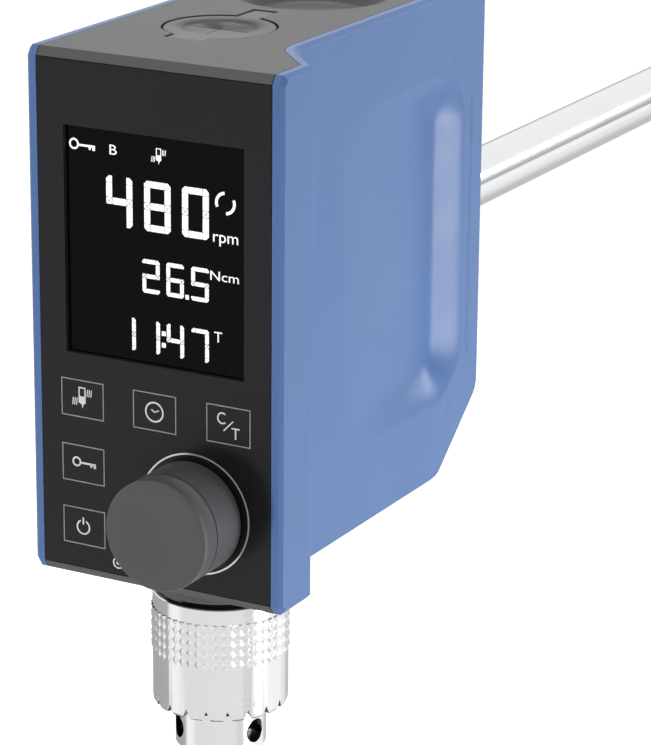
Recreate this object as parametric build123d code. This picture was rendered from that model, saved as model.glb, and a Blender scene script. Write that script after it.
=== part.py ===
from build123d import *
import os
from math import acos, cos, hypot, pi, radians, sin, sqrt, tan

# Overhead laboratory stirrer, held by the rod at its back and driving a keyed three-jaw chuck.
# Millimetres. The origin is on the output axis at the chuck's nose. +Z is up, the control panel
# faces -Y and +X is to the right of someone who faces the panel.

# ---------------------------------------------------------------- case
case_width = 58.0             # across the control panel
case_depth = 109.0            # panel to back face
case_height = 109.0
rear_half_width = 23.75       # body behind the panel, centred on the output axis
axis_from_front = 34.8        # output axis behind the panel
case_base_z = 48.0            # underside of the case above the chuck's nose
flange_depth = 12.0           # full-width front part at the right
jog_depth = 11.3              # slanted step in to the narrower body
flange_round = 1.0
jog_round = 7.0
slant_run = 19.5              # sloped lower back corner
slant_rise = 16.0
slant_round = 6.0
shell_wall = 2.4              # side shells, also the width of their rim seen from above
shell_bevel = 0.9
seam = 0.15                   # gap between shells and covers
cover_wall = 2.6
front_bevel_run = 1.25        # bevels of the top and bottom covers along the panel
front_bevel_rise = 1.84
back_bevel = 1.2

# ---------------------------------------------------------------- grip scoop in the right shell
scoop_front = 42.0            # behind the panel
scoop_from_back = 8.6         # its edge from the back face
scoop_low = 17.3              # above the case's underside
scoop_from_top = 16.5
scoop_depth = 4.4             # at the back, where the floor is deepest
scoop_corner = 14.0
scoop_bank_run = 10.0         # from the rim to the floor
scoop_swoop = 1.4             # above 1, the floor leaves the skin without a crease at the front
scoop_wall = 1.8              # of the shell behind the scoop
scoop_lift = 0.06             # construction surface outside the skin, past the rim
scoop_margin = 3.0            # construction surface beyond the rim
scoop_steps = 26              # rows and columns of points that the surface passes through

# ---------------------------------------------------------------- control panel
foil_thickness = 0.4
display_width = 40.9
display_height = 46.5
display_low = 47.55           # above the case's underside
display_recess = 1.0          # glass behind the foil's face
window_thickness = 1.2
module_thickness = 3.4
key_width = 10.0
key_height = 7.9
key_columns = (-21.85, -4.96, 11.96)   # left edges, from the panel's middle
key_rows = (42.0, 28.16, 14.75)        # top edges, above the case's underside
dome_radius = 3.4
dome_height = 0.35
knob_from_middle = 9.07
knob_height_on_panel = 18.2
ring_radius = 12.5
ring_line = 0.36
knob_radius = 11.4
knob_groove_depth = 0.35
knob_cap_length = 4.9
knob_rim_round = 0.5
knob_proud = 14.9
knob_standoff = 0.9
knob_wall = 1.8
encoder_width = 12.6
encoder_depth = 6.0
encoder_shaft_radius = 3.0
bush_radius = 3.6
board_thickness = 1.6
control_board_back = 10.6     # board's front face behind the panel's face
board_margin = 3.0            # board's edge inside the panel's edge

# ---------------------------------------------------------------- top
cap_radius = 11.47
cap_rear_reach = 18.5         # from the output axis
cap_rear_tab = 5.0
cap_front_reach = 13.9
cap_front_tab = 8.6
cap_gap = 0.45
cap_seat_depth = 2.2
cap_proud = 0.5
cap_dish = 0.5                # of the floor inside the rim
cap_edge_round = 0.3
cap_rim = 3.5
cap_plug_radius = 6.3
plug_clearance = 0.3
dish_from_axis = 38.5
dish_radius = 16.4
dish_floor_radius = 13.0
dish_depth = 4.4
dish_wall = 2.0

# ---------------------------------------------------------------- chuck
chuck_body_radius = 9.75
chuck_body_top = 35.0
chuck_neck_wall = 2.0          # round the spindle's end
chuck_neck_top = 39.2
chuck_bore = 4.6
nose_bevel = 1.6
sleeve_radius = 14.5
sleeve_low = 11.3
sleeve_top = 36.9
sleeve_wall = 1.5
sleeve_lip = 2.0
sleeve_clearance = 0.06       # radial, sleeve on the chuck body
bevel_teeth = 20
tooth_depth = 1.9
tooth_notch = 1.8             # width of a notch at the sleeve's rim
nut_height = 6.0
nut_gap = 0.2
jaw_radius = 2.2
jaw_clearance = 0.05
jaw_angle = 15.0              # jaw axes to the output axis
jaw_open_radius = 4.3
jaw_closed_radius = 0.3
jaw_tip_z = 9.5
jaw_wedge_inset = 0.5         # jaw axis outside the gripping edge at the tip
jaw_length = 26.0
jaw_back_gap = 0.3            # backs of the jaws are turned down to clear the sleeve
jaw_count = 3
jaw_turn = 50.0               # direction of the first jaw, from +X
key_hole_radius = 2.65
key_hole_z = 5.8
key_hole_floor = 6.4          # bottom of a key hole, from the output axis

# ---------------------------------------------------------------- spindle and bearings
spindle_radius = 6.0
spindle_bore = 4.25
spindle_low = 30.0
spindle_below_top = 5.5
bearing_section = 4.5         # from bore to outside
bearing_ledge = 1.0           # shelf left below the upper bearing
bearing_width = 5.0
ball_radius = 1.2
ball_gap = 0.06
ball_count = 7
lower_bearing_z = 44.5
seal_low = 40.4
seal_height = 3.4
seal_clearance = 0.05
collar_clearance = 0.4        # round the chassis' boss
collar_wall = 1.8
collar_gap = 1.0              # above the sleeve

# ---------------------------------------------------------------- drive
gear_module = 0.75
gear_teeth = 48
pinion_teeth = 12
pressure_angle = 25.0
backlash = 0.05               # thinning of each tooth at the pitch circle
gear_low = 59.0
gear_width = 6.0
gear_hub_wall = 2.5
gear_hub_height = 4.0
gear_hub_gap = 1.0            # hub to the motor's plate
pinion_overhang = 0.4
motor_radius = 15.0
motor_low = 71.0
motor_length = 42.0
motor_wall = 1.2
motor_spigot_radius = 5.0
motor_shaft_radius = 1.5
winding_depth = 5.8           # can's inside to the rotor's magnets
air_gap = 0.4
motor_bearing_radius = 4.5
motor_bearing_width = 3.0

# ---------------------------------------------------------------- chassis, boards and rod
chassis_side_gap = 7.25       # to the outside of the body
chassis_front = -13.5
chassis_from_back = 24.2
base_plate = 4.0
back_wall = 4.0
shelf_thickness = 6.0
shelf_from_top = 17.0
motor_plate_thickness = 3.0
boss_wall = 2.6
rod_radius = 6.5
rod_height = 51.6             # rod's axis above the case's underside
rod_exposed = 160.0
rod_seat_radius = 5.0         # turned-down end that screws into the chassis
rod_seat_length = 25.0
rod_bevel = 1.0
rod_boss_radius = 10.0
rod_boss_nose = 8.2           # end of the boss, seen through the rear cover
board_post_length = 6.0
driver_board_from_top = 14.0
driver_board_height = 28.0
socket_from_top = 33.0
socket_spacing = 20.0
screw_radius = 1.5
screw_head_radius = 2.6
screw_head_height = 1.6
rear_screw_offset = 13.0      # rear cover's screws, from the output axis

# ---------------------------------------------------------------- places worked out from the above
left_x = -rear_half_width
right_x = left_x + case_width
panel_x = (left_x + right_x) / 2
front_y = -axis_from_front
back_y = front_y + case_depth
top_z = case_base_z + case_height
flange_y = front_y + flange_depth
jog_y = flange_y + jog_depth
motor_y = gear_module * (gear_teeth + pinion_teeth) / 2
rod_z = case_base_z + rod_height
knob_x = panel_x + knob_from_middle
knob_z = case_base_z + knob_height_on_panel
scoop_back = case_depth - scoop_from_back
scoop_high = case_height - scoop_from_top
sleeve_bore = sleeve_radius - sleeve_wall
jaw_back_radius = sleeve_bore - jaw_back_gap
chuck_neck_radius = spindle_radius + chuck_neck_wall
spindle_top = top_z - spindle_below_top
bearing_outer = spindle_radius + bearing_section
collar_radius = bearing_outer + boss_wall + collar_clearance + collar_wall
collar_low = sleeve_top + collar_gap
gear_hub_radius = spindle_radius + gear_hub_wall
rotor_radius = motor_radius - motor_wall - winding_depth
chassis_half_width = rear_half_width - chassis_side_gap
chassis_back = back_y - chassis_from_back
shelf_low = top_z - shelf_from_top
upper_bearing_z = shelf_low + bearing_ledge
driver_board_y = chassis_back + board_post_length
driver_board_high = top_z - driver_board_from_top
driver_board_low = driver_board_high - driver_board_height
socket_z = top_z - socket_from_top
overrun = 12.0                # how far construction shapes run on past the case
core_inset = shell_wall + seam
panel_width = case_width - 2 * core_inset
panel_low = case_base_z + front_bevel_rise + seam
panel_high = top_z - front_bevel_rise - seam


# ---------------------------------------------------------------- small shapes
def block(x_span, y_span, z_span):
    """A box between pairs of limits."""
    middle = [(low + high) / 2 for low, high in (x_span, y_span, z_span)]
    size = [high - low for low, high in (x_span, y_span, z_span)]
    return Pos(*middle) * Box(*size)


def disc(radius, low, high, x=0.0, y=0.0):
    return Pos(x, y, low) * extrude(Circle(radius), high - low)


def tube(outer, inner, low, high, x=0.0, y=0.0):
    return Pos(x, y, low) * extrude(Circle(outer) - Circle(inner), high - low)


def along_y(shape, x, y, z):
    """Stands a shape made along +Z on the point given, running towards the back."""
    return Pos(x, y, z) * Rot(-90, 0, 0) * shape


def turned(points):
    """Revolves an outline of (radius, height) points about the output axis."""
    return revolve(Plane.XZ * Polygon(*points, align=None), axis=Axis.Z)


def side_prism(points, x_span):
    """A prism along X from an outline of (y, z) points."""
    outline = Plane.YZ.offset(x_span[0]) * Polygon(*points, align=None)
    return extrude(outline, x_span[1] - x_span[0], dir=(1, 0, 0))


def ring_of(shape, count, start=0.0):
    """Copies of a shape turned about the output axis."""
    return [Rot(0, 0, start + 360.0 * index / count) * shape for index in range(count)]


# ---------------------------------------------------------------- case form
def plan_face(inset=0.0):
    """The case seen from above, run on past its front and back and drawn in at both sides."""
    corners = [
        (left_x, front_y - overrun),
        (right_x, front_y - overrun),
        (right_x, flange_y),
        (rear_half_width, jog_y),
        (rear_half_width, back_y + overrun),
        (left_x, back_y + overrun),
    ]
    face = Polygon(*corners, align=None)
    flange_corner = face.vertices().sort_by_distance((right_x, flange_y, 0))[0]
    face = fillet(flange_corner, flange_round)
    jog_corner = face.vertices().sort_by_distance((rear_half_width, jog_y, 0))[0]
    face = fillet(jog_corner, jog_round)
    return offset(face, -inset, kind=Kind.INTERSECTION) if inset else face


def plan_prism(inset=0.0):
    return Pos(0, 0, case_base_z - overrun) * extrude(plan_face(inset), case_height + 2 * overrun)


def side_face(inset=0.0):
    """The case seen from its right, drawn in all round by inset."""
    slant_y = back_y - slant_run
    slant_z = case_base_z + slant_rise
    corners = [
        (front_y, case_base_z + front_bevel_rise),
        (front_y + front_bevel_run, case_base_z),
        (slant_y, case_base_z),
        (back_y, slant_z),
        (back_y, top_z - back_bevel),
        (back_y - back_bevel, top_z),
        (front_y + front_bevel_run, top_z),
        (front_y, top_z - front_bevel_rise),
    ]
    face = Polygon(*corners, align=None)
    for corner in ((slant_y, case_base_z, 0), (back_y, slant_z, 0)):
        face = fillet(face.vertices().sort_by_distance(corner)[0], slant_round)
    return offset(face, -inset, kind=Kind.INTERSECTION) if inset else face


def side_solid(inset=0.0):
    width = case_width + 2 * overrun
    return extrude(Plane.YZ.offset(left_x - overrun) * side_face(inset), width, dir=(1, 0, 0))


def scoop_depth_at(y, z):
    """Depth of the grip scoop: its floor slopes in towards the back and rounds up to the side."""
    middle_z = case_base_z + (scoop_low + scoop_high) / 2
    straight = (scoop_high - scoop_low) / 2 - scoop_corner
    across = abs(z - middle_z) - straight
    along = y - (front_y + scoop_back - scoop_corner)
    beyond = hypot(max(across, 0), max(along, 0)) + min(max(across, along), 0) - scoop_corner
    bank = min(max(-beyond / scoop_bank_run, 0), 1)
    slope = min(max((y - front_y - scoop_front) / (scoop_back - scoop_front - scoop_bank_run), 0), 1)
    return scoop_depth * slope ** scoop_swoop * bank ** 2 * (3 - 2 * bank)


def scoop_form(behind=0.0):
    """Fills the grip scoop, down to a smooth floor that lies that far behind the scoop's own."""
    start = (front_y + scoop_front - scoop_margin, case_base_z + scoop_low - scoop_margin)
    end = (front_y + scoop_back + scoop_margin, case_base_z + scoop_high + scoop_margin)
    skin = rear_half_width + scoop_lift - behind
    shares = [step / scoop_steps for step in range(scoop_steps + 1)]
    heights = [start[1] + (end[1] - start[1]) * share for share in shares]
    rows = []
    for share in shares:
        y = start[0] + (end[0] - start[0]) * share
        rows.append([Vector(skin - scoop_depth_at(y, z), y, z) for z in heights])
    floor = Face.make_surface_from_array_of_points(rows, tol=0.01)
    return extrude(floor, 2 * scoop_depth + behind, dir=(1, 0, 0))


# ---------------------------------------------------------------- side shells
def left_shell():
    """Flat side of the case, bevelled all round its outer face."""
    band = block(
        (left_x, left_x + shell_wall),
        (front_y, back_y),
        (case_base_z, top_z),
    ) & side_solid()
    outer = band.faces().sort_by(Axis.X)[0]
    return chamfer(outer.edges(), shell_bevel)


def right_shell():
    """Side with the panel's flange, the step to the narrow body and the grip scoop."""
    band = (plan_prism() - plan_prism(shell_wall)) & side_solid()
    band &= block((0, right_x + 1), (front_y, back_y), (case_base_z, top_z))
    skin = [face for face in band.faces() if faces_outwards(face)]
    shared = set()
    rim = []
    for face in skin:
        for edge in face.edges():
            key = tuple(round(value, 3) for value in edge.center())
            if key in shared:
                rim = [other for other in rim if other[0] != key]
            else:
                shared.add(key)
                rim.append((key, edge))
    band = chamfer([edge for _, edge in rim], shell_bevel)
    backing = scoop_form(scoop_wall) & plan_prism(shell_bevel) & side_solid(cover_wall + seam)
    return (band + backing) - scoop_form()


def faces_outwards(face):
    """True for the upright faces of the right shell's outer skin."""
    middle = face.center()
    normal = face.normal_at(middle)
    if abs(normal.Z) > 0.01 or normal.X < 0.3:
        return False
    return middle.X > rear_half_width - shell_wall / 2


# ---------------------------------------------------------------- covers
def core(shape):
    """Trims a cover to the space between the shells."""
    return shape & plan_prism(core_inset)


def cap_outline(grow=0.0):
    rear_tab = Pos(0, cap_rear_reach / 2) * Rectangle(cap_rear_tab + 2 * grow, cap_rear_reach + 2 * grow)
    front_tab = Pos(0, -cap_front_reach / 2) * Rectangle(cap_front_tab + 2 * grow, cap_front_reach + 2 * grow)
    return Circle(cap_radius + grow) + rear_tab + front_tab


def top_cover():
    """Grey lid between the shells, with the cap's seat and the round dish."""
    front_rebate = front_y + cover_wall + seam
    plate = side_prism(
        [
            (front_y, top_z - front_bevel_rise),
            (front_y + front_bevel_run, top_z),
            (back_y - back_bevel, top_z),
            (back_y, top_z - back_bevel),
            (back_y, top_z - cover_wall),
            (front_rebate, top_z - cover_wall),
            (front_rebate, top_z - front_bevel_rise),
        ],
        (left_x, right_x),
    )
    cover = core(plate)
    seat_z = top_z - cap_seat_depth
    cover += Pos(0, 0, seat_z - 1.2) * extrude(cap_outline(cap_gap + 1.4), 1.3)
    dish_boss = disc(dish_radius + dish_wall, top_z - dish_depth - dish_wall, top_z - 1, y=dish_from_axis)
    cover += dish_boss
    cover -= Pos(0, 0, seat_z) * extrude(cap_outline(cap_gap), cap_seat_depth + 1)
    cover -= disc(cap_plug_radius + plug_clearance, seat_z - 3, seat_z + 1)
    bowl = turned([
        (0, top_z - dish_depth),
        (dish_floor_radius, top_z - dish_depth),
        (dish_radius, top_z),
        (dish_radius, top_z + 1),
        (0, top_z + 1),
    ])
    bowl = fillet(bowl.edges().filter_by(GeomType.CIRCLE).sort_by(Axis.Z)[0], 1.5)
    return cover - Pos(0, dish_from_axis, 0) * bowl


def bottom_cover():
    """Grey underside with the collar round the lower bearing."""
    front_rebate = front_y + cover_wall + seam
    plate = side_prism(
        [
            (front_y, case_base_z + front_bevel_rise),
            (front_y + front_bevel_run, case_base_z),
            (back_y - slant_run - slant_round, case_base_z),
            (back_y - slant_run - slant_round, case_base_z + cover_wall),
            (front_rebate, case_base_z + cover_wall),
            (front_rebate, case_base_z + front_bevel_rise),
        ],
        (left_x, right_x),
    )
    cover = core(plate)
    cover += disc(collar_radius, collar_low, case_base_z + 1)
    cover -= disc(collar_radius - collar_wall, collar_low - 1, case_base_z + cover_wall + 1)
    return chamfer(cover.edges().group_by(Axis.Z)[0].sort_by(SortBy.LENGTH)[-1], 0.5)


def rear_cover():
    """Back and sloped lower corner in one moulding, with the rod's hole and two sockets."""
    band = side_solid() - side_solid(cover_wall)
    keep = block(
        (left_x, right_x),
        (back_y - slant_run - slant_round + seam, back_y + 1),
        (case_base_z - 1, top_z - cover_wall - seam),
    )
    cover = core(band & keep)
    cover -= along_y(extrude(Circle(rod_boss_nose + seam), 3 * cover_wall), 0, back_y - 2 * cover_wall, rod_z)
    for side in (-1, 1):
        opening = extrude(socket_outline(side, seam), 3 * cover_wall)
        cover -= along_y(opening, side * socket_spacing / 2, back_y - 2 * cover_wall, socket_z)
    for x, z in rear_screw_places():
        cover -= along_y(extrude(Circle(screw_radius + 0.1), 3 * cover_wall), x, back_y - 2 * cover_wall, z)
    return cover


def rear_screw_places():
    return [
        (side * rear_screw_offset, z)
        for side in (-1, 1)
        for z in (case_base_z + slant_rise + slant_round + 3, top_z - cover_wall - 8)
    ]


def rear_screws():
    """Four pan-head screws with the chassis lugs' threads behind them."""
    screws = []
    for x, z in rear_screw_places():
        shank = extrude(Circle(screw_radius), 8)
        head = Pos(0, 0, 8) * extrude(Circle(screw_head_radius), screw_head_height)
        socket = Pos(0, 0, 8 + screw_head_height - 1) * extrude(RegularPolygon(1.1, 6), 2)
        screws.append(along_y(shank + head - socket, x, back_y - 8, z))
    return screws


# ---------------------------------------------------------------- control panel
def key_corners():
    """Top left corner of each key: three in the first row and one in each of the others."""
    places = [(column, key_rows[0]) for column in key_columns]
    places += [(key_columns[0], row) for row in key_rows[1:]]
    return places


def key_middles():
    return [
        (panel_x + left + key_width / 2, case_base_z + top - key_height / 2)
        for left, top in key_corners()
    ]


def display_opening(grow, y_span):
    x_span = (panel_x - display_width / 2 - grow, panel_x + display_width / 2 + grow)
    z_low = case_base_z + display_low
    return block(x_span, y_span, (z_low - grow, z_low + display_height + grow))


def front_foil():
    """Black keypad foil over the whole panel, open over the display and at the knob's bush."""
    half = panel_width / 2
    y_span = (front_y, front_y + foil_thickness)
    foil = block((panel_x - half, panel_x + half), y_span, (panel_low, panel_high))
    foil -= display_opening(0, (front_y - 1, front_y + 1))
    foil -= along_y(extrude(Circle(bush_radius + 0.2), 2), knob_x, front_y - 1, knob_z)
    groove = Circle(ring_radius + ring_line / 2) - Circle(ring_radius - ring_line / 2)
    return foil - along_y(extrude(groove, 1), knob_x, front_y - 1 + foil_thickness / 2, knob_z)


def light_ring():
    """Thin white ring let into the foil round the knob."""
    line = Circle(ring_radius + ring_line / 2) - Circle(ring_radius - ring_line / 2)
    return along_y(extrude(line, foil_thickness / 2), knob_x, front_y, knob_z)


def front_panel():
    """Stiff plate behind the foil, with the display's frame and the board's stand-offs."""
    half = panel_width / 2
    y_span = (front_y + foil_thickness, front_y + cover_wall)
    plate = block((panel_x - half, panel_x + half), y_span, (panel_low, panel_high))
    glass_y = front_y + display_recess
    plate -= display_opening(0, (front_y - 1, glass_y))
    plate -= display_opening(1.2, (glass_y, front_y + cover_wall + 1))
    plate -= along_y(extrude(Circle(bush_radius + 0.1), 2 * cover_wall), knob_x, front_y, knob_z)
    for x, z in key_middles():
        plate -= along_y(extrude(Circle(dome_radius + 0.3), 0.6), x, front_y + foil_thickness, z)
    for x, z in standoff_places():
        plate += along_y(extrude(Circle(2.4), control_board_back - cover_wall), x, front_y + cover_wall, z)
    return plate


def standoff_places():
    offset_x = panel_width / 2 - 3.2
    return [
        (panel_x + side * offset_x, z)
        for side in (-1, 1)
        for z in (panel_low + 6, panel_high - 6)
    ]


def key_domes():
    """Snap domes under the five keys of the foil."""
    domes = []
    arch = (dome_radius ** 2 + dome_height ** 2) / (2 * dome_height)
    dome = extrude(Circle(dome_radius), dome_height) & Pos(0, 0, dome_height - arch) * Sphere(arch)
    for x, z in key_middles():
        back = front_y + foil_thickness + 0.6
        domes.append(Pos(x, back, z) * Rot(90, 0, 0) * dome)
    return domes


def display_window():
    """Dark glass behind the foil's opening."""
    glass_y = front_y + display_recess
    return display_opening(1.1, (glass_y, glass_y + window_thickness))


def display_module():
    """Backlit segment display behind the glass."""
    low_y = front_y + display_recess + window_thickness
    frame = display_opening(0.9, (low_y, low_y + module_thickness))
    pins = display_opening(-3.0, (low_y + module_thickness, front_y + control_board_back))
    return frame + pins


def control_board():
    """Circuit board that carries the display and the knob's encoder."""
    half = panel_width / 2 - board_margin
    low_y = front_y + control_board_back
    board = block(
        (panel_x - half, panel_x + half),
        (low_y, low_y + board_thickness),
        (panel_low + 1.2, panel_high - 1.2),
    )
    chip_y = (low_y + board_thickness, low_y + board_thickness + 1.6)
    board += block((panel_x - 6, panel_x + 6), chip_y, (top_z - 36, top_z - 24))
    board += block((panel_x + 10, panel_x + 22), chip_y, (top_z - 60, top_z - 55))
    return board


def encoder_body():
    """Rotary encoder with a push switch, soldered to the board, and its threaded bush."""
    back = front_y + control_board_back
    face = back - encoder_depth
    half = encoder_width / 2
    body = block((knob_x - half, knob_x + half), (face, back), (knob_z - half, knob_z + half))
    body = fillet(body.edges().filter_by(Axis.Y), 0.8)
    bush = along_y(extrude(Circle(bush_radius), face - front_y + 0.5), knob_x, front_y - 0.5, knob_z)
    body += bush
    return body - along_y(extrude(Circle(encoder_shaft_radius + 0.05), 20), knob_x, front_y - 1, knob_z)


def encoder_plunger():
    """Switch button behind the knob's shaft: it moves in and out but doesn't turn."""
    start = front_y + control_board_back - encoder_depth + 3.4
    return along_y(extrude(Circle(encoder_shaft_radius - 0.4), 1.6), knob_x, start, knob_z)


def encoder_shaft():
    """Flatted shaft from the switch to inside the knob."""
    start = front_y - knob_proud + knob_wall + 0.8
    end = front_y + control_board_back - encoder_depth + 3.4 - 0.05
    shaft = along_y(extrude(Circle(encoder_shaft_radius), end - start), knob_x, start, knob_z)
    flat_end = front_y - knob_standoff - 2.5
    flat = block((knob_x - 4, knob_x + 4), (start - 1, flat_end), (knob_z + 1.5, knob_z + 4))
    return shaft - flat


def knob_body():
    """Hollow skirt of the knob with a hub for the flatted shaft."""
    groove_y = front_y - knob_proud + knob_cap_length
    skirt_length = -knob_standoff - (groove_y - front_y)
    skirt = extrude(Circle(knob_radius) - Circle(knob_radius - knob_wall), skirt_length)
    web = extrude(Circle(knob_radius), knob_wall)
    hub = extrude(Circle(encoder_shaft_radius + 1.6), skirt_length - 2.4)
    body = along_y(skirt + web + hub, knob_x, groove_y, knob_z)
    back_edges = body.edges().filter_by(GeomType.CIRCLE).sort_by(Axis.Y)[-2:]
    body = fillet(back_edges.sort_by(SortBy.RADIUS)[-1:], 0.5)
    return body - grown_shaft(0.02)


def grown_shaft(gap):
    """The flatted shaft with a small gap, to cut its socket."""
    start = front_y - knob_proud + knob_wall + 0.8 - gap
    end = front_y + 2
    shaft = along_y(extrude(Circle(encoder_shaft_radius + gap), end - start), knob_x, start, knob_z)
    flat_end = front_y - knob_standoff - 2.5 - gap
    return shaft - block((knob_x - 4, knob_x + 4), (start - 1, flat_end), (knob_z + 1.5 + gap, knob_z + 5))


def knob_cap():
    """Dished disc on the front of the knob, behind a fine groove."""
    face_y = front_y - knob_proud
    body = extrude(Circle(knob_radius), knob_cap_length - knob_groove_depth)
    body = fillet(body.edges().sort_by(Axis.Z)[0], knob_rim_round)
    neck = Pos(0, 0, knob_cap_length - knob_groove_depth) * extrude(
        Circle(knob_radius - knob_groove_depth), knob_groove_depth)
    dish_arch = 60.0
    dish = Pos(0, 0, 0.45 - dish_arch) * Sphere(dish_arch)
    dish &= extrude(Circle(knob_radius - 1.8), 2)
    cap = along_y(body + neck - dish, knob_x, face_y, knob_z)
    return cap - grown_shaft(0.02)


# ---------------------------------------------------------------- cap over the hollow spindle
def push_through_cap():
    """Soft cap over the spindle's top, with a raised rim, two tabs and a plug below."""
    seat_z = top_z - cap_seat_depth
    dish_z = top_z + cap_proud - cap_dish
    body = Pos(0, 0, seat_z) * extrude(cap_outline(), cap_seat_depth + cap_proud)
    body = fillet(body.edges().group_by(Axis.Z)[-1], cap_edge_round)
    body -= disc(cap_radius - cap_rim, dish_z, top_z + 2)
    body += disc(cap_plug_radius, seat_z - 1.2, seat_z)
    slit_depth = dish_z - 0.35
    for angle in (0, 90):
        slit = block((-6.5, 6.5), (-0.2, 0.2), (slit_depth, top_z + 1))
        body -= Rot(0, 0, angle) * slit
    return body


# ---------------------------------------------------------------- chuck
def jaw_frame():
    """Plane at a jaw's tip: its normal runs up the jaw's axis, out from the output axis."""
    lean = radians(jaw_angle)
    return Plane(
        origin=(jaw_open_radius + jaw_wedge_inset, 0, jaw_tip_z),
        x_dir=(cos(lean), 0, -sin(lean)),
        z_dir=(sin(lean), 0, cos(lean)),
    )


def jaw():
    """One slanted jaw: a rod with a 120 degree gripping wedge, its back turned down."""
    rod = extrude(jaw_frame().offset(-6) * Circle(jaw_radius), jaw_length + 6)
    rod &= disc(jaw_back_radius, jaw_tip_z, jaw_tip_z + 2 * jaw_length)
    reach = 3 * jaw_radius
    wedge = Polygon(
        (jaw_open_radius, 0),
        (jaw_open_radius + reach, -reach * tan(radians(60))),
        (jaw_open_radius + reach, reach * tan(radians(60))),
        align=None,
    )
    return rod & Pos(0, 0, jaw_tip_z - 1) * extrude(wedge, 2 * jaw_length)


def jaws():
    return ring_of(jaw(), jaw_count, jaw_turn)


def chuck_body():
    """Steel body: nose with key holes, nut groove, three slanted guides and the neck."""
    groove_low = sleeve_low + sleeve_lip
    groove_high = groove_low + nut_height + 2 * nut_gap
    guide_outer = sleeve_bore - sleeve_clearance
    body = turned([
        (0, 0),
        (chuck_body_radius - nose_bevel, 0),
        (chuck_body_radius, nose_bevel),
        (chuck_body_radius, groove_low),
        (groove_radius(), groove_low),
        (groove_radius(), groove_high),
        (guide_outer, groove_high),
        (guide_outer, chuck_body_top - 1),
        (guide_outer - 1, chuck_body_top),
        (chuck_neck_radius, chuck_body_top),
        (chuck_neck_radius, chuck_neck_top),
        (0, chuck_neck_top),
    ])
    body -= disc(chuck_bore, -1, chuck_neck_top + 1)
    body -= disc(spindle_radius, spindle_low, chuck_neck_top + 1)
    guide = extrude(jaw_frame().offset(-16) * Circle(jaw_radius + jaw_clearance), jaw_length + 24)
    for shape in ring_of(guide, jaw_count, jaw_turn):
        body -= shape
    hole = Pos(key_hole_floor, 0, key_hole_z) * Rot(0, 90, 0) * extrude(Circle(key_hole_radius), 8)
    for shape in ring_of(hole, jaw_count, jaw_turn + 180 / jaw_count):
        body -= shape
    return body


def groove_radius():
    """Bottom of the nut's groove, just inside the nut's taper at its lower end."""
    return nut_taper_radius(sleeve_low + sleeve_lip) - 0.25


def nut_taper_radius(z):
    """Radius that the jaws' backs reach at a height, with their clearance."""
    lean = radians(jaw_angle)
    axis_radius = jaw_open_radius + jaw_wedge_inset + (z - jaw_tip_z) * tan(lean)
    return axis_radius + jaw_radius / cos(lean) + jaw_clearance


def chuck_nut():
    """Split tapered nut that drives the jaws, pressed into the sleeve."""
    low = sleeve_low + sleeve_lip + nut_gap / 2
    high = low + nut_height
    nut = turned([
        (nut_taper_radius(low), low),
        (sleeve_bore, low),
        (sleeve_bore, high),
        (nut_taper_radius(high), high),
    ])
    split = block((-0.15, 0.15), (-sleeve_radius, sleeve_radius), (low - 1, high + 1))
    return [half for half in (nut - split).solids()]


def chuck_sleeve():
    """Outer sleeve with the bevel teeth that the chuck key turns."""
    lip_bore = chuck_body_radius + 0.25
    lip_top = sleeve_low + sleeve_lip
    sleeve = turned([
        (lip_bore, sleeve_low + 0.9),
        (sleeve_radius - 2.4, sleeve_low),
        (sleeve_radius - 0.3, sleeve_low),
        (sleeve_radius, sleeve_low + 0.6),
        (sleeve_radius, sleeve_top - 0.6),
        (sleeve_radius - 0.6, sleeve_top),
        (sleeve_bore, sleeve_top),
        (sleeve_bore, lip_top),
        (lip_bore, lip_top),
    ])
    half = tooth_notch / 2
    notch_points = [(-half, sleeve_low - 0.01), (0, sleeve_low + tooth_depth), (half, sleeve_low - 0.01)]
    face = Plane(origin=(sleeve_bore - 1.2, 0, 0), x_dir=(0, 1, 0), z_dir=(1, 0, 0))
    notch = extrude(face * Polygon(*notch_points, align=None), 4)
    for shape in ring_of(notch, bevel_teeth):
        sleeve -= shape
    return sleeve


# ---------------------------------------------------------------- spindle and its bearings
def spindle():
    """Hollow output shaft that a stirring rod can pass right through."""
    shaft = tube(spindle_radius, spindle_bore, spindle_low, spindle_top)
    return chamfer(shaft.edges().group_by(Axis.Z)[-1], 0.4)


def bearing_rings(low):
    """Inner ring, outer ring and balls of one deep-groove bearing on the spindle."""
    high = low + bearing_width
    middle = low + bearing_width / 2
    pitch = (spindle_radius + bearing_outer) / 2
    land = 0.7
    race = revolve(
        Plane.XZ * Pos(pitch, middle) * Circle(ball_radius + ball_gap), axis=Axis.Z)
    inner = tube(pitch - land, spindle_radius, low, high) - race
    outer = tube(bearing_outer, pitch + land, low, high) - race
    balls = ring_of(Pos(pitch, 0, middle) * Sphere(ball_radius), ball_count)
    return inner, outer, balls


def shaft_seal():
    """Lip seal below the lower bearing."""
    inner = spindle_radius + seal_clearance
    high = seal_low + seal_height
    return turned([
        (inner + 0.8, seal_low),
        (bearing_outer, seal_low),
        (bearing_outer, high),
        (inner, high),
        (inner, high - 1.0),
        (inner + 0.8, high - 1.6),
    ])


# ---------------------------------------------------------------- gears
def involute_flank(base, radius):
    """Point of the involute at a radius: its radius and its angle from the flank's start."""
    roll = sqrt(max((radius / base) ** 2 - 1, 0))
    return roll - acos(min(base / radius, 1))


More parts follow.
